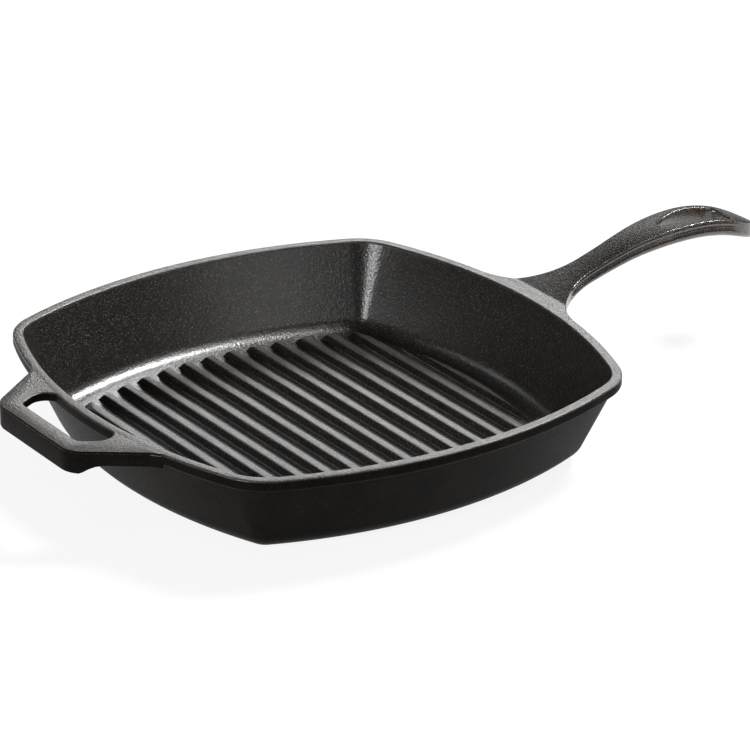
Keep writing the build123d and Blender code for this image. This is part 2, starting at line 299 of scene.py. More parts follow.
    def turned_copy(self, name: str) -> "Bench":
        """Copies the piece with a mesh of its own, turned half round the pan's middle.

        Args:
            name: name of the copy.

        Returns:
            The bench with the copy on it.
        """
        self.take_up()
        bpy.ops.object.duplicate(linked=False)
        copy = Bench(bpy.context.active_object)
        copy.thing.name = copy.thing.data.name = name
        with copy.editing():
            bpy.ops.mesh.select_all(action="SELECT")
            bpy.ops.transform.rotate(value=math.pi, orient_axis="Z", center_override=(0, 0, 0))
        return copy

    def finish(self, region: Callable[[Vector, Vector], Region], *replaces: str) -> None:
        """Smooths the piece, gives each face its finish and places it in the frame.

        Args:
            region: gives a face's region from its middle, in millimetres, and its normal.
            replaces: the CAD nodes that the piece stands for.
        """
        with self.editing():
            bpy.ops.mesh.select_all(action="SELECT")
            bpy.ops.mesh.remove_doubles(threshold=WELD * MM)
            bpy.ops.mesh.normals_make_consistent(inside=False)
            bpy.ops.mesh.select_all(action="DESELECT")
            for face in bmesh.from_edit_mesh(self.thing.data).faces:
                face.material_index = region(face.calc_center_median() / MM, face.normal).value
        if "place" in self.thing.data.attributes:
            self.thing.data.attributes.remove(self.thing.data.attributes["place"])
        for part in Region:
            self.thing.data.materials.append(FINISHES[part].material())
        self.take_up()
        bpy.ops.object.shade_smooth_by_angle(angle=math.radians(SMOOTH_BELOW))
        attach(self.thing, "root")
        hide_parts(*replaces)
        log.info("%s: %d faces", self.thing.name, len(self.thing.data.polygons))


def flared_cutter(name: str, outline: Sequence[Point], edge: float, low: float, high: float,
                  steps: int) -> Bench:
    """Models a solid that cuts a hole with rounded edges: it flares out at the top and at the underside.

    Args:
        name: name of the solid.
        outline: the hole's outline, anticlockwise.
        edge: radius of the hole's edges.
        low: height of the underside.
        high: height of the top.
        steps: number of facets in each round.

    Returns:
        The bench with the solid on it.
    """
    section = arc((edge, low + edge), edge, 270, 180, steps) + arc((edge, high - edge), edge, 180, 90, steps)
    rings = [(grown(outline, out), height) for out, height in section]
    wide = grown(outline, edge + 0.05)
    past, clear = 0.02, 9.0
    tool = Bench.plate(name, wide, low - clear)
    tool.carry([(wide, low - past), *rings, (wide, high + past), (wide, high + clear)])
    return tool


# Finishes


def linear(code: str) -> tuple[float, ...]:
    """Turns an sRGB hex colour such as #1d1b19 to linear red, green, blue and alpha."""
    parts = [int(code[i:i + 2], 16) / 255 for i in (1, 3, 5)]
    return (*(part / 12.92 if part <= 0.04045 else ((part + 0.055) / 1.055) ** 2.4 for part in parts), 1.0)


def per(size: float) -> float:
    """Gives the scale of a texture whose features are that many millimetres wide."""
    return 1 / (size * MM)


def add_node(tree: bpy.types.NodeTree, kind: str, settings: dict | None = None,
             links: dict | None = None) -> bpy.types.Node:
    """Adds one node to a tree.

    Args:
        tree: the tree.
        kind: the node's type, without the ShaderNode that they all start with.
        settings: values by the name of a setting, or by the name or number of an input.
        links: for an input's name or number, the node and the output that feed it.

    Returns:
        The node.
    """
    node = tree.nodes.new("ShaderNode" + kind)
    for name, value in (settings or {}).items():
        if isinstance(name, int) or name in node.inputs:
            node.inputs[name].default_value = value
        else:
            setattr(node, name, value)
    for name, (source, output) in (links or {}).items():
        tree.links.new(source.outputs[output], node.inputs[name])
    return node


def new_material(name: str) -> tuple[bpy.types.Material, bpy.types.NodeTree]:
    """Starts a material.

    Args:
        name: its name.

    Returns:
        The material and its empty node tree.
    """
    made = bpy.data.materials.new(name)
    made.use_nodes = True
    made.node_tree.nodes.clear()
    return made, made.node_tree


@dataclass(frozen=True)
class SeasonedIron:
    """Sand-cast grey iron, seasoned with baked oil: black with a warm tint, satin, with a fine pebbled grain.

    Attributes:
        dark: colour of the thicker seasoning.
        light: colour where the seasoning is thin.
        speck: colour of the small worn peaks of the grain.
        speck_level: how high the grain stands before a peak is worn, from 0 to 1.
        gloss: specular level of the iron under the baked oil.
        oil: share of the surface that the shiny oil covers.
        roughness: lowest and highest roughness.
        mottle_size: size of the clouds of thick and thin seasoning.
        pit_size: spacing of the small pits.
        speck_size: size of the worn peaks.
        speck_edge: how softly a worn peak starts.
        oil_roughness: roughness of the oil's own skin.
        oil_relief: share of the grain's height that shows through the oil.
    """

    name: str
    dark: str
    light: str
    speck: str
    speck_level: float
    gloss: float
    oil: float
    roughness: Point
    grain_height: float
    mottle_size: float = 18.0
    grain_size: float = 0.95
    pit_size: float = 1.4
    speck_size: float = 0.7
    speck_edge: float = 0.08
    oil_roughness: float = 0.21
    oil_relief: float = 0.4

    @cache
    def material(self) -> bpy.types.Material:
        """Builds the finish's nodes, once.

        Returns:
            The material.
        """
        made, tree = new_material(self.name)
        place = add_node(tree, "TexCoord")

        def noise(size: float, detail: float, roughness: float) -> bpy.types.Node:
            """Adds noise that is fixed to the piece, with features of a size."""
            return add_node(tree, "TexNoise", {"Scale": per(size), "Detail": detail, "Roughness": roughness},
                            {"Vector": (place, "Object")})

        # Thick and thin seasoning: the black shifts softly every few centimetres.
        cloud = add_node(tree, "MapRange", {"From Min": 0.36, "From Max": 0.64},
                         {"Value": (noise(self.mottle_size, 4.0, 0.6), 0)})
        # The sand's own grain, drawn a little coarser than it is so that it shows.
        grain = noise(self.grain_size, 3.0, 0.62)
        pits = add_node(tree, "TexVoronoi", {"Scale": per(self.pit_size), "Randomness": 1.0},
                        {"Vector": (place, "Object")})
        worn = add_node(tree, "MapRange",
                        {"From Min": self.speck_level, "From Max": self.speck_level + self.speck_edge},
                        {"Value": (noise(self.speck_size, 2.0, 0.5), 0)})
        shade = add_node(tree, "Mix", {"data_type": "RGBA", 6: linear(self.dark), 7: linear(self.light)},
                         {0: (cloud, 0)})
        colour = add_node(tree, "Mix", {"data_type": "RGBA", 7: linear(self.speck)},
                          {0: (worn, 0), 6: (shade, 2)})
        smooth, rough = self.roughness
        polish = add_node(tree, "MapRange",
                          {"From Min": 0.3, "From Max": 0.7, "To Min": smooth, "To Max": rough},
                          {"Value": (grain, 0)})
        height = add_node(tree, "Math", {"operation": "MULTIPLY_ADD", 1: 0.45}, {0: (pits, 0), 2: (grain, 0)})
        bump = add_node(tree, "Bump", {"Strength": 1.0, "Distance": self.grain_height * MM},
                        {"Height": (height, 0)})
        # The oil fills the grain, so its own skin is flatter than the iron under it.
        skin = add_node(tree, "Bump", {"Strength": 1.0, "Distance": self.grain_height * self.oil_relief * MM},
                        {"Height": (height, 0)})
        surface = add_node(tree, "BsdfPrincipled",
                           {"Metallic": 0.0, "IOR": 1.5, "Specular IOR Level": self.gloss,
                            "Coat Weight": self.oil, "Coat Roughness": self.oil_roughness},
                           {"Base Color": (colour, 2), "Roughness": (polish, 0), "Normal": (bump, 0),
                            "Coat Normal": (skin, 0)})
        add_node(tree, "OutputMaterial", None, {"Surface": (surface, 0)})
        return made


FINISHES = {
    # Upward faces painted the greyest, partly rubbed by stacking and wiping, partly painted light; an even
    # satin sheen.
    Region.TOP: SeasonedIron("seasoned_iron_top_wear_and_painted_light", "#12100e", "#1f1b18", "#5a5249", 0.59, 0.47, 0.2,
                             (0.32, 0.48), 0.27),
    # Freshly oiled: the cooking surface looks a deep brown black that glints where the grain catches light.
    Region.INSIDE: SeasonedIron("seasoned_iron_cooking_surface", "#070504", "#0e0b08", "#5a4f42", 0.595, 0.17,
                                1.0, (0.28, 0.44), 0.38),
    # Sheltered and never wiped: the outer walls look smooth, dull and almost black.
    Region.OUTSIDE: SeasonedIron("seasoned_iron_outer_wall", "#080605", "#110e0b", "#2b2520", 0.64, 0.03, 0.0,
                                 (0.34, 0.50), 0.12),
    # Fluted sides painted browner: partly the hand's polish, partly painted sheen; they shine along their
    # edges.
    Region.GRIP: SeasonedIron("seasoned_iron_grip_polish_and_sheen", "#150e09", "#2b1e14", "#6a5443", 0.58, 0.75, 1.0,
                              (0.20, 0.34), 0.18),
    # Fine-grained, with little oil: the handle's top is painted darker than the rim it climbs from, weaker
    # painted light.
    Region.CLIMB: SeasonedIron("seasoned_iron_handle_top_less_painted_light", "#0d0b0a", "#15120f", "#403931", 0.60, 0.07, 0.03,
                               (0.30, 0.44), 0.22),
}


# The pan


@dataclass
class PanShape:
    """Sizes of the bowed square pan, shared by its body, its ribs and its handles.

    Attributes:
        half_side: from the pan's middle to the middle of a side, at the rim.
        bow_radius: radius of each side's bow at the rim.
        corner_radius: radius of the corners at the rim.
        lean: angle of the walls from upright.
    """

    half_side: float = 133.35
    height: float = 45.7
    bow_radius: float = 255.0
    corner_radius: float = 31.359
    floor: float = 4.2
    lean: float = 24.7
    wall: float = 3.8
    rim_width: float = 5.0

    @property
    def upright(self) -> float:
        """Cosine of the walls' lean."""
        return math.cos(math.radians(self.lean))

    @property
    def bow_centre(self) -> float:
        """How far past the middle each bow's centre lies."""
        return self.bow_radius - self.half_side

    @property
    def corner_centre(self) -> float:
        """Place of a corner's centre, along X and along Y."""
        return (math.sqrt(2 * (self.bow_radius - self.corner_radius) ** 2 - self.bow_centre ** 2)
                - self.bow_centre) / 2

    @property
    def side_angle(self) -> float:
        """Half the angle of each side's bow."""
        return math.degrees(math.atan2(self.corner_centre, self.corner_centre + self.bow_centre))

    def outline(self) -> list[Point]:
        """Draws the outline of the rim's outer face.

        Returns:
            The points, anticlockwise.
        """
        quarter = arc((-self.bow_centre, 0), self.bow_radius, -self.side_angle, self.side_angle, 60)[:-1]
        quarter += arc((self.corner_centre, self.corner_centre), self.corner_radius, self.side_angle,
                       90 - self.side_angle, 22)[:-1]
        points = []
        for turn in range(4):
            spun = Matrix.Rotation(math.radians(90 * turn), 2)
            points += [tuple(spun @ Vector(point)) for point in quarter]
        return points

    def inner_inset(self, height: float) -> float:
        """Inset of the inner wall at a height."""
        return self.rim_width + (self.height - height) * math.tan(math.radians(self.lean))

    def outer_inset(self, height: float) -> float:
        """Inset of the outer wall at a height."""
        return self.inner_inset(height) - self.wall / self.upright

    def depth_inside(self, x: float, y: float, inset: float) -> float:
        """Gives how far a point lies inside the four bows drawn in by an inset, below zero outside."""
        centres = ((-self.bow_centre, 0), (0, -self.bow_centre), (self.bow_centre, 0), (0, self.bow_centre))
        return min(self.bow_radius - inset - math.hypot(x - cx, y - cy) for cx, cy in centres)

    def bow_at(self, y: float, inset: float) -> float:
        """Place along X of the +X side's bow, drawn in by an inset."""
        return math.sqrt((self.bow_radius - inset) ** 2 - y * y) - self.bow_centre


@dataclass
class PanBody:
    """Floor, rounded foot, flared wall and rim, in one skin.

    Attributes:
        lower_round: round of the rim band's lower edge.
        band_foot: height of the band's lower edge.
        top_edge: inset and height where the finish of the rim's top ends.
        wall_top: height where the inside of the wall starts, below the rim's round.
        wall_rings: heights of the rings of corners down the outside of the wall.
        bead: inset and height of each step of the thin bead under the band, where the mould's halves met.
    """

    shape: PanShape
    outer_round: float = 0.8
    inner_round: float = 0.9
    lower_round: float = 1.8
    band_foot: float = 39.7
    foot_radius: float = 13.3
    inside_radius: float = 9.5
    top_edge: Point = (6.4, 41.0)
    wall_top: float = 44.6
    wall_rings: tuple[float, ...] = (37.7, 37.2, 30.0, 20.0)
    bead: tuple[Point, ...] = ((3.7, 38.5), (3.75, 38.2), (3.95, 38.0), (4.35, 37.95))

    def upper_steps(self) -> list[Point]:
        """Draws the section from the rim's outer top edge over the rim and down inside to the floor.

        Returns:
            Inset and height of each step.
        """
        top, lean = self.shape.height, self.shape.lean
        r = self.outer_round
        steps = arc((r, top - r), r, 180, 90, 4)[1:]
        r = self.inner_round
        # Each round's centre keeps it tangent to a level face and to the leaning wall.
        centre = self.shape.inner_inset(top - r) - r / self.shape.upright
        steps += arc((centre, top - r), r, 90, lean, 4)
        r = self.inside_radius
        low = self.shape.floor + r
        start = low - r * math.sin(math.radians(lean))
        crest = steps[-1][1]
        heights = [crest + (start - crest) * 0.02]
        heights += [self.wall_top + (start - self.wall_top) * share for share in (0.25, 0.5, 0.75, 0.98)]
        steps += [(self.shape.inner_inset(height), height) for height in heights]
        centre = self.shape.inner_inset(low) + r / self.shape.upright
        steps += arc((centre, low), r, 180 + lean, 270, 12)
        steps.append((centre + 0.7, self.shape.floor))
        return steps

    def lower_steps(self) -> list[Point]:
        """Draws the section from the band's lower edge down the outer wall to the underside.

        Returns:
            Inset and height of each step.
        """
        r = self.lower_round
        steps = arc((r, self.band_foot + r), r, 180, 270, 6)[1:]
        steps += self.bead
        r, lean = self.foot_radius, self.shape.lean
        start = r - r * math.sin(math.radians(lean))
        steps += [(self.shape.outer_inset(height), height) for height in (*self.wall_rings, start + 0.3)]
        centre = self.shape.outer_inset(r) + r / self.shape.upright
        steps += arc((centre, r), r, 180 + lean, 270, 14)
        steps.append((centre + 0.6, 0))
        return steps

    def region(self, middle: Vector, normal: Vector) -> Region:
        """Gives the region of a face of the body."""
        inset = self.shape.depth_inside(middle.x, middle.y, 0)
        # The rim's top takes the top finish, with its painted light.
        if normal.z > 0.3 and inset < self.top_edge[0] and middle.z > self.top_edge[1]:
            return Region.TOP
        return Region.INSIDE if normal.z > 0.05 and middle.z > self.shape.floor - 0.2 else Region.OUTSIDE

    def build(self) -> None:
        """Models and dresses the body."""
        upper = self.shape.height - self.outer_round
        lower = self.band_foot + self.lower_round
        bench = Bench.plate("pan_body", self.shape.outline(), upper)
        bench.thicken(upper - lower)
        bench.step_in(self.upper_steps(), True, (0, upper))
        bench.step_in(self.lower_steps(), False, (0, lower))
        bench.finish(self.region, "pan_floor", "pan_foot", "pan_wall", "rim")


@dataclass
class CookingRibs:
    """The raised parallel ribs, whose ends slope down along the pan's outline.

    Attributes:
        half_width: half of a rib's width at its top.
        field_inset: inset of the outline where the ribs end.
        end_run: length over which a rib's end slopes down.
        end_ease: half the length over which that slope starts.
        end_round: round between that slope and the rib's top.
        foot_half: half of a rib's width at its foot, in round figures.
        fine_step: spacing of the rows of corners where the outline cuts a rib.
        long_step: their spacing elsewhere.
        sink: how far the edges of a rib dip under the floor.
        root: how deep a rib is rooted in the floor.
    """

    shape: PanShape
    pitch: float = 13.619
    height: float = 4.1
    half_width: float = 2.4
    draft: float = 6.0
    top_round: float = 0.9
    foot_round: float = 1.0
    field_inset: float = 33.16
    end_run: float = 4.2
    end_ease: float = 0.5
    end_round: float = 0.7
    foot_half: float = 4.0
    fine_step: float = 0.7
    long_step: float = 12.0
    sink: float = 0.05
    root: float = 1.5

    def section(self) -> list[Point]:
        """Draws the rib's section from its left foot to its right foot.

        Returns:
            Offset from the rib's middle and height over the floor of each point.
        """
        slope = math.radians(self.draft)
        top = (self.half_width + self.top_round * (math.tan(slope) - 1 / math.cos(slope)),
               self.height - self.top_round)
        foot = (self.half_width + (self.height - self.foot_round) * math.tan(slope)
                + self.foot_round / math.cos(slope), self.foot_round)
        half = [(0.0, self.height), (top[0] / 2, self.height)]
        half += arc(top, self.top_round, 90, self.draft, 5)
        half += [((half[-1][0] + foot[0] - self.foot_round) / 2 + 0.02, 2.0)]
        half += arc(foot, self.foot_round, 180 + self.draft, 270, 5)
        half += [(foot[0] + 0.06, -self.sink)]
        return [(-x, z) for x, z in reversed(half[1:])] + half

    def rows(self, middle: float) -> list[float]:
        """Chooses where the rib is divided along Y: finely wherever the outline cuts it.

        Args:
            middle: place of the rib along X.

        Returns:
            The places, from the −Y end to the +Y end.
        """
        edge, inner = abs(middle) + self.foot_half, abs(middle) - self.foot_half
        places = [0.0]
        while self.shape.depth_inside(inner, places[-1], self.field_inset) > -0.8:
            inside = self.shape.depth_inside(edge, places[-1] + self.long_step, self.field_inset)
            places.append(places[-1] + (self.long_step if inside > self.end_run + 1.5 else self.fine_step))
        return [-y for y in reversed(places[1:])] + places

    def lift(self, x: float, y: float, height: float) -> float:
        """Lowers a point of the section where the rib's end slopes down.

        Args:
            x: place along X.
            y: place along Y.
            height: height of the section there.

        Returns:
            The height over the floor.
        """
        inside = self.shape.depth_inside(x, y, self.field_inset)
        ease = self.end_ease
        if inside < -ease:
            slope = 0.0
        elif inside < ease:
            slope = (inside + ease) ** 2 / (4 * ease)
        else:
            slope = inside
        slope *= self.height / self.end_run
        blend = self.end_round
        share = max(blend - abs(height - slope), 0.0) / blend
        lower = min(height, slope) - share * share * blend / 4
        return lower if lower > 0.03 else -self.sink

    def rib(self, name: str, middle: float) -> Bench:
        """Models one rib.

        Args:
            name: name of the rib.
            middle: place of the rib along X.

        Returns:
            The bench with the rib on it.
        """
        section = self.section()
        rows = self.rows(middle)
        across, along = len(section) - 1, len(rows) - 1
        bpy.ops.object.select_all(action="DESELECT")
        bpy.ops.mesh.primitive_grid_add(x_subdivisions=across, y_subdivisions=along, size=2.0)
        bench = Bench(bpy.context.active_object)
        bench.thing.name = bench.thing.data.name = name

        def settle(corner: Vector) -> Vector:
            """Moves a corner of the flat grid on to the rib."""
            offset, height = section[round((corner.x * MM + 1) / 2 * across)]
            y = rows[round((corner.y * MM + 1) / 2 * along)]
            x = middle + offset
            return Vector((x, y, self.shape.floor + self.lift(x, y, height)))

        bench.reshape(settle)
        with bench.editing():
            bench.pick(lambda face: True)
            bpy.ops.mesh.extrude_region_move(TRANSFORM_OT_translate={"value": (0, 0, -self.root * MM)})
            base = (0, 0, (self.shape.floor - self.root) * MM)
            bpy.ops.transform.resize(value=(1, 1, 0), center_override=base)
        return bench

    def region(self, middle: Vector, normal: Vector) -> Region:
        """Gives the region of a rib's face."""
        # The rib tops take the top finish, with its painted light.
        on_top = normal.z > 0.8 and middle.z > self.shape.floor + self.height - 0.5
        return Region.TOP if on_top else Region.INSIDE

    def build(self) -> None:
        """Models a rib of each length, copies it to the pan's other side and dresses them all."""
        nodes = {}
        for node in (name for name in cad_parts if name.startswith("grill_rib")):
            low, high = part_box(node)
            nodes[round((low.x + high.x) / 2 / MM / self.pitch)] = node
        ribs: dict[int, Bench] = {}
        for place in sorted(nodes):
            name = nodes[place].replace("grill", "cooking")
            ribs[place] = ribs[-place].turned_copy(name) if place > 0 else self.rib(name, place * self.pitch)
        for place, rib in ribs.items():
            rib.finish(self.region, nodes[place])


# The handles


@dataclass(frozen=True)
class Climb:
    """One line of the main handle from the side: level, then straight up, then round over a crest.

    Attributes:
        base: height of the level part.
        start: where the straight climb starts.
        turn: where the climb starts to round over.
        crest: where the line is highest.
        top: its height there.
        bend: radius before the crest.
        fall: radius past the crest.
    """

    base: float
    start: float
    turn: float
    crest: float
    top: float
    bend: float
    fall: float = 96.0

    def height(self, x: float) -> float:
        """Gives the height of the line.

        Args:
            x: place along X.

        Returns:
            The height.
        """
        if x <= self.start:
            return self.base
        radius = self.fall if x >= self.crest else self.bend
        over = self.top - radius + math.sqrt(radius ** 2 - (max(x, self.turn) - self.crest) ** 2)
        if x >= self.turn:
            return over
        return self.base + (over - self.base) * (x - self.start) / (self.turn - self.start)


@dataclass
class MainHandle:
    """The long handle: a flat flare at the rim, a neck, a fluted grip with a teardrop slot, and an oval tip.

    It is modelled flat, with its flutes and its slot, and then bent along the lines that its top and its
    underside climb.

    Attributes:
        root_inset: how far inside the rim's outer face the root ends.
        flare_centre: centre of the +Y side's hollow between the rim and the neck.
        swell_turn: where the swell turns from hollow to full.
        swell_radii: its hollow radius and its full radius.
        slot_end_bow: radius of the slot's blunt end.
        flutes: depth and inset of each ring across the fluted side.
        slice_pitch: length of the facets along the bend.
        crease: where the finish of the rim's top gives way to that of the handle's.
    """

    shape: PanShape
    depth: float = 9.2
    root_inset: float = 0.8
    root_steps: int = 30
    root_end: float = 136.0
    flare_centre: Point = (167.73, 45.9)
    flare_radius: float = 38.0
    flare_edge: float = 37.15
    neck_end: Point = (170.95, 7.9)
    swell_turn: Point = (196.84, 9.43)
    swell_radii: Point = (219.8, 513.0)
    grip_half: float = 13.0
    tip_start: float = 257.25
    tip_end: float = 275.25
    flank_radius: float = 22.18
    nose_radius: float = 10.01
    slot_point: float = 212.75
    slot_point_round: float = 1.3
    slot_widest: float = 246.45
    slot_half: float = 9.4
    slot_end: float = 256.95
    slot_end_bow: float = 30.2
    slot_corner: float = 5.5
    slot_round: float = 1.7
    top_round: float = 0.7
    under_round: float = 3.0
    flutes: tuple[Point, ...] = (
        (0.85, 0.3), (1.05, 0.5), (1.25, 0.5), (1.45, 0.2), (1.75, 0.02), (2.2, 0.0), (2.65, 0.1),
        (2.95, 0.35), (3.15, 0.62), (3.4, 0.62), (3.6, 0.35), (3.85, 0.2), (4.1, 0.35), (4.3, 0.62),
        (4.55, 0.62), (4.75, 0.35), (5.0, 0.2), (5.25, 0.35), (5.4, 0.55), (5.6, 0.5), (5.8, 0.15))
    flute_start: Point = (146.0, 153.0)
    flute_end: Point = (251.0, 259.0)
    slice_pitch: float = 1.4
    top_line: Climb = Climb(45.7, 138.05, 186.1, 228.55, 67.2, 142.3)
    under_line: Climb = Climb(39.7, 143.05, 185.95, 228.55, 58.0, 154.5)
    crease: float = 139.0

    def outline(self) -> list[Point]:
        """Draws the handle's plan.

        Returns:
            The points, anticlockwise, with the root first.
        """
        across = [self.flare_edge * (1 - 2 * i / self.root_steps) for i in range(self.root_steps + 1)]
        root = [(self.shape.bow_at(y, self.root_inset), y) for y in across]
        side = self.upper_side()
        return root + [(x, -y) for x, y in side] + [(x, y) for x, y in reversed(side[:-1])]

    def upper_side(self) -> list[Point]:
        """Draws the +Y side of the plan, from the flare to the tip.

        Returns:
            The points.
        """
        cx, cy = self.flare_centre
        start = math.degrees(math.asin((self.flare_edge - cy) / self.flare_radius))
        points = arc(self.flare_centre, self.flare_radius, 180 - start, 270, 26)[:-1]
        points += between((cx, cy - self.flare_radius), self.neck_end, 3)
        hollow, full = self.swell_radii
        x, y = self.neck_end
        turn = math.degrees(math.asin((self.swell_turn[0] - x) / hollow))
        points += arc((x, y + hollow), hollow, 270, 270 + turn, 12)[:-1]
        x = self.tip_start
        turn = math.degrees(math.asin((x - self.swell_turn[0]) / full))
        points += arc((x, self.grip_half - full), full, 90 + turn, 90, 26)[:-1]
        nose = self.tip_end - self.nose_radius
        flank = (self.tip_start, self.grip_half - self.flank_radius)
        turn = math.degrees(math.atan2(-flank[1], nose - flank[0]))
        points += arc(flank, self.flank_radius, 90, turn, 12)[:-1]
        points += arc((nose, 0), self.nose_radius, turn, 0, 12)
        return points

    def side_profile(self) -> list[tuple[float, float, float]]:
        """Draws the handle's side from its top edge down.

        Returns:
            Depth, plain inset and extra inset of the flutes at each ring.
        """
        top, under = self.top_round, self.under_round
        upper = arc((top, top), top, 270, 180, 3)
        lower = arc((under, self.depth - under), under, 180, 90, 5)
        flutes = [(depth, 0.0, inset) for depth, inset in self.flutes]
        return [(depth, x, 0.0) for x, depth in upper] + flutes + [(depth, x, 0.0) for x, depth in lower]

    def slot_outline(self) -> list[Point]:
        """Draws the teardrop slot.

        Returns:
            The points, anticlockwise.
        """
        reach = self.slot_widest - self.slot_point
        side = (reach ** 2 + self.slot_half ** 2) / (2 * self.slot_half)
        centre = (self.slot_widest, self.slot_half - side)
        point = self.slot_point_round
        middle = centre[0] - math.sqrt((side - point) ** 2 - centre[1] ** 2)
        turn = math.degrees(math.atan2(-centre[1], middle - centre[0]))
        upper = arc((middle, 0), point, 180, turn, 6)[:-1]
        upper += arc(centre, side, turn, 90, 26)[:-1]
        bow = self.slot_end_bow
        heart = self.slot_end - bow
        lift = self.slot_half - self.slot_corner
        corner = heart + math.sqrt((bow - self.slot_corner) ** 2 - lift ** 2)
        upper += between((self.slot_widest, self.slot_half), (corner, self.slot_half), 4)
        turn = math.degrees(math.atan2(lift, corner - heart))
        upper += arc((corner, lift), self.slot_corner, 90, turn, 12)[:-1]
        upper += arc((heart, 0), bow, turn, 0, 6)
        return [(x, -y) for x, y in upper] + [(x, y) for x, y in reversed(upper[1:-1])]

    def bent(self, corner: Vector) -> Vector:
        """Moves a corner of the flat handle on to the line that the handle climbs."""
        share = -corner.z / self.depth
        height = self.top_line.height(corner.x) * (1 - share) + self.under_line.height(corner.x) * share
        return Vector((corner.x, corner.y, height))

    def region(self, middle: Vector, normal: Vector) -> Region:
        """Gives the region of a face of the handle."""
        # Upward faces take the top finish's painted light up to the crease, and the darker handle-top finish
        # past it.
        if normal.z > 0.8:
            return Region.TOP if middle.x < self.crease else Region.CLIMB
        # The handle's sides past the root take the grip finish, with its painted sheen.
        return Region.OUTSIDE if normal.z < -0.8 or middle.x < self.root_end else Region.GRIP

    def build(self) -> None:
        """Models and dresses the handle."""
        base = self.outline()
        ways = inward(base)

        def pressed(plain: float, flute: float) -> list[Point]:
            """Draws the plan pressed in at one ring."""
            points = []
            for i, ((x, y), way) in enumerate(zip(base, ways)):
                fade = eased(x, *self.flute_start) * (1 - eased(x, *self.flute_end))
                press = 0.0 if i <= self.root_steps else plain + flute * fade
                points.append((x + way.x * press, y + way.y * press))
            return points

        rings = [(pressed(plain, flute), -depth) for depth, plain, flute in self.side_profile()]
        bench = Bench.plate("main_handle_casting", *rings[0])
        bench.carry(rings[1:])
        bench.cut(flared_cutter("slot_tool", self.slot_outline(), self.slot_round, -self.depth, 0, 6))
        slices = int((self.tip_end - self.root_end) / self.slice_pitch)
        bench.slice_across([self.root_end + self.slice_pitch * i for i in range(slices)])
        bench.reshape(self.bent)
        bench.finish(self.region, "main_handle", "handle_flare")


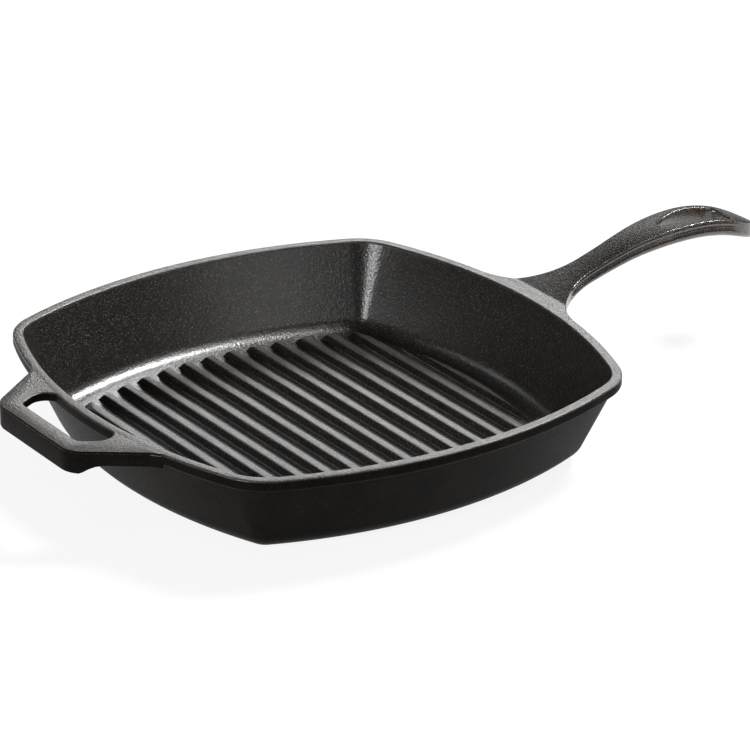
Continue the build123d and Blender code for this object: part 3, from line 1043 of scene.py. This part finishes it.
@dataclass
class HelperHandle:
    """The short flat loop opposite the main handle, with a skirt turned down round its outside.

    Attributes:
        root: where each arm's outside meets the rim.
        outer: outer corner of the loop.
        notch: hollow round between each arm and the rim.
        notch_run: how far before its root an arm turns into that round.
        notch_spread: how far the round spreads along the rim.
        side: depth and inset of each ring of the loop's side.
        step: place along X and height of each point where the skirt grows shallower towards the rim.
        pocket_end: where the pocket inside the skirt ends, past the rim.
        step_end: corner of the step's cutter, clear of the loop.
    """

    shape: PanShape
    root: Point = (-126.78, 57.5)
    root_steps: int = 40
    outer: Point = (-161.0, 33.0)
    corner: float = 13.0
    notch: float = 5.0
    notch_run: float = 4.0
    notch_spread: float = 2.4
    root_inset: float = 0.8
    web: float = 4.6
    skirt: float = 3.8
    bar_depth: float = 12.0
    side: tuple[Point, ...] = ((0, 0.55), (0.1, 0.2), (0.4, 0.05), (0.6, 0.1), (0.75, 0.45), (1.15, 0.45),
                               (1.4, 0.05), (2.2, 0.0), (11.0, 0.05), (11.7, 0.35), (12.0, 1.0))
    step: tuple[Point, ...] = ((-159.5, 32.9), (-157.0, 33.9), (-155.0, 35.2), (-153.0, 36.6), (-150.5, 37.8),
                               (-147.5, 38.4), (-144.0, 38.5))
    pocket_end: float = -118.0
    step_end: Point = (-110.0, 70.0)
    past: float = 3.0
    gap_inner: Point = (-131.5, 37.0)
    gap_outer: Point = (-151.0, 25.5)
    gap_round: float = 4.5
    gap_inner_round: float = 8.0
    gap_edge: float = 1.1

    @property
    def arm(self) -> Vector:
        """Way that the +Y arm's outside runs, towards the rim."""
        return (Vector(self.root) - Vector(self.outer)).normalized()

    def outline(self) -> list[Point]:
        """Draws the loop's plan, without its finger gap.

        Returns:
            The points, anticlockwise, with the root last.
        """
        ox, oy = self.outer
        touch = Vector(self.root) - self.arm * self.notch_run
        edge = self.root[1] + self.notch_spread
        spread = -self.shape.bow_at(edge, 0.25)
        corners = [(spread, edge, 0), (touch.x, touch.y, self.notch), (ox, oy, self.corner),
                   (ox, -oy, self.corner), (touch.x, -touch.y, self.notch), (spread, -edge, 0)]
        root = [(-self.shape.bow_at(y, self.root_inset), y)
                for y in (edge * (2 * i / self.root_steps - 1) for i in range(self.root_steps + 1))]
        return rounded(corners) + root

    def build(self) -> None:
        """Models and dresses the loop."""
        base = self.outline()
        ways = inward(base)
        last = len(base) - self.root_steps - 2

        def pressed(press: float) -> list[Point]:
            """Draws the plan pressed in at one ring, but for its root."""
            return [(x + way.x * press, y + way.y * press) if 0 < i < last else (x, y)
                    for i, ((x, y), way) in enumerate(zip(base, ways))]

        level = self.shape.height
        rings = [(pressed(press), level - depth) for depth, press in self.side]
        bench = Bench.plate("helper_handle_casting", *rings[0])
        bench.carry(rings[1:])
        bench.cut(self.pocket_tool())
        bench.cut(self.step_tool())
        bench.cut(flared_cutter("gap_tool", self.gap_outline(), self.gap_edge, level - self.web, level, 5))
        bench.finish(self.region, "helper_handle")

    def pocket_tool(self) -> Bench:
        """Models the solid that hollows the loop from below, inside its skirt.

        Returns:
            The bench with the solid on it.
        """
        outer, arm = Vector(self.outer), self.arm
        start = outer + Vector((arm.y, -arm.x)) * self.skirt
        near = start + arm * ((outer.x + self.skirt - start.x) / arm.x)
        far = start + arm * ((self.pocket_end - outer.x) / arm.x)
        points = rounded([(far.x, far.y, 0), (near.x, near.y, 2.0),
                          (near.x, -near.y, 2.0), (far.x, -far.y, 0)])
        tool = Bench.plate("pocket_tool", points, self.shape.height - self.bar_depth - self.past)
        tool.carry([(points, self.shape.height - self.web)])
        return tool

    def step_tool(self) -> Bench:
        """Models the solid that makes the skirt shallower along the arms.

        Returns:
            The bench with the solid on it.
        """
        x, y = self.step_end

        def block(side: float) -> list[Point]:
            """Draws the block's plan, with its −X side at a place."""
            return [(side, -y), (x, -y), (x, y), (side, y)]

        low = self.shape.height - self.bar_depth - self.past
        tool = Bench.plate("step_tool", block(self.step[0][0]), low)
        tool.carry([(block(side), height) for side, height in self.step])
        return tool

    def gap_outline(self) -> list[Point]:
        """Draws the finger gap, whose inner side lies inside the rim."""
        (ix, iy), (ox, oy) = self.gap_inner, self.gap_outer
        return rounded([(ix, iy, self.gap_inner_round), (ox, oy, self.gap_round), (ox, -oy, self.gap_round),
                        (ix, -iy, self.gap_inner_round)])

    def region(self, middle: Vector, normal: Vector) -> Region:
        """Gives the region of a face of the loop."""
        # The loop's upward faces take the top finish, with its painted light.
        return Region.TOP if normal.z > 0.5 else Region.OUTSIDE


# The studio


@dataclass
class Photograph:
    """The camera of the photograph: where it stands, which way it looks, and its lens on a 36 mm sensor."""

    azimuth: float = -35.07
    elevation: float = 23.86
    roll: float = 0.70
    place: tuple[float, float, float] = (-1060.97, -1563.04, 868.99)
    lens: float = 201.4

    def build(self) -> None:
        """Places the camera."""
        bpy.ops.object.camera_add()
        camera = bpy.context.active_object
        camera.name = "photograph_camera"
        tilt = math.radians(90 - self.elevation)
        camera.matrix_world = (Matrix.Translation(Vector(self.place) * MM)
                               @ Matrix.Rotation(math.radians(self.azimuth), 4, "Z")
                               @ Matrix.Rotation(tilt, 4, "X")
                               @ Matrix.Rotation(math.radians(self.roll), 4, "Z"))
        camera.data.lens = self.lens
        camera.data.sensor_width = 36.0
        camera.data.sensor_fit = "HORIZONTAL"
        camera.data.clip_start = 0.05
        camera.data.clip_end = 50.0
        bpy.context.scene.camera = camera


@dataclass
class Softbox:
    """One soft studio lamp: its place, its aim and its size, in metres, and its power, in watts."""

    name: str
    place: tuple[float, float, float]
    aim: tuple[float, float, float]
    size: Point
    power: float

    def build(self) -> None:
        """Hangs the lamp."""
        bpy.ops.object.light_add(type="AREA", location=self.place)
        lamp = bpy.context.active_object
        lamp.name = self.name
        lamp.data.shape = "RECTANGLE"
        lamp.data.size, lamp.data.size_y = self.size
        lamp.data.energy = self.power
        lamp.rotation_euler = (Vector(self.aim) - Vector(self.place)).to_track_quat("-Z", "Y").to_euler()


@dataclass
class Studio:
    """A pale floor, plain pale surroundings and soft lamps.

    Attributes:
        floor_half: half of the floor's side, in metres.
        floor_colours: the two tones of the floor's fibres.
        floor_lift: how far the floor is lifted to white where it is seen or mirrored.
        room_level: strength of the even light from all round.
        lamps: the lamps.
    """

    floor_half: float = 6.0
    floor_colours: tuple[str, str] = ("#f0f0f0", "#f4f4f4")
    floor_lift: float = 0.88
    room_level: float = 0.08
    lamps: list[Softbox] = field(default_factory=lambda: [
        Softbox("overhead_softbox", (1.3, 0.14, 1.52), (0.0, 0.05, 0.0), (0.5, 0.5), 72.0),
        Softbox("back_softbox", (1.23, 1.57, 0.93), (0.0, 0.0, 0.03), (0.9, 0.45), 12.5),
        Softbox("back_left_softbox", (-0.7, 1.5, 1.1), (0.0, 0.0, 0.03), (0.4, 0.4), 2.0),
        Softbox("left_softbox", (-1.8, -0.48, 0.75), (0.0, 0.0, 0.03), (0.5, 0.5), 25.0),
        Softbox("front_softbox", (0.32, -1.82, 0.75), (0.0, 0.0, 0.03), (1.0, 0.5), 4.0),
        Softbox("front_right_softbox", (1.05, -0.81, 1.5), (0.0, 0.0, 0.03), (0.3, 0.3), 2.5),
    ])

    def floor_material(self) -> bpy.types.Material:
        """Builds matt white paper that reads as white to the eye and keeps the pan's shadow.

        Returns:
            The material.
        """
        made, tree = new_material("matt_white_paper")
        place = add_node(tree, "TexCoord")
        # Paper fibres, about 2 mm long and barely visible.
        fibre = add_node(tree, "TexNoise", {"Scale": per(2.0), "Detail": 2.0}, {"Vector": (place, "Object")})
        dim, bright = (linear(code) for code in self.floor_colours)
        tone = add_node(tree, "Mix", {"data_type": "RGBA", 6: dim, 7: bright}, {0: (fibre, 0)})
        paper = add_node(tree, "BsdfDiffuse", None, {"Color": (tone, 2)})
        light = add_node(tree, "LightPath")
        seen = add_node(tree, "Math", {"operation": "MAXIMUM"},
                        {0: (light, "Is Camera Ray"), 1: (light, "Is Glossy Ray")})
        shown = add_node(tree, "Math", {"operation": "MAXIMUM"},
                         {0: (seen, 0), 1: (light, "Is Transmission Ray")})
        level = add_node(tree, "Math", {"operation": "MULTIPLY", 1: self.floor_lift}, {0: (shown, 0)})
        glow = add_node(tree, "Emission", {"Color": (1, 1, 1, 1), "Strength": 1.0})
        both = add_node(tree, "MixShader", None, {0: (level, 0), 1: (paper, 0), 2: (glow, 0)})
        add_node(tree, "OutputMaterial", None, {"Surface": (both, 0)})
        return made

    def build_floor(self) -> None:
        """Lays the floor just under the pan."""
        bpy.ops.object.select_all(action="DESELECT")
        bpy.ops.mesh.primitive_plane_add(size=2 * self.floor_half, location=(0, 0, -0.2 * MM))
        floor = bpy.context.active_object
        floor.name = "paper_floor"
        floor.data.materials.append(self.floor_material())

    def build_room(self) -> None:
        """Makes the surroundings one plain pale fill light."""
        room = bpy.data.worlds.new("white_room")
        room.use_nodes = True
        tree = room.node_tree
        tree.nodes.clear()
        glow = add_node(tree, "Background", {"Color": (1, 1, 1, 1), "Strength": self.room_level})
        add_node(tree, "OutputWorld", None, {"Surface": (glow, 0)})
        bpy.context.scene.world = room

    def build(self) -> None:
        """Sets up the floor, the room and the lamps."""
        self.build_floor()
        self.build_room()
        for lamp in self.lamps:
            lamp.build()


def main() -> None:
    """Builds the pan and its studio, piece by piece."""
    logging.basicConfig(level=logging.INFO, format="%(name)s %(message)s")
    bpy.ops.object.select_all(action="DESELECT")
    bpy.context.scene.view_settings.view_transform = "Standard"
    shape = PanShape()
    for part in (PanBody(shape), CookingRibs(shape), MainHandle(shape), HelperHandle(shape)):
        part.build()
        log.info("%s is done", type(part).__name__)
    Studio().build()
    Photograph().build()


if __name__ == "__main__":
    main()
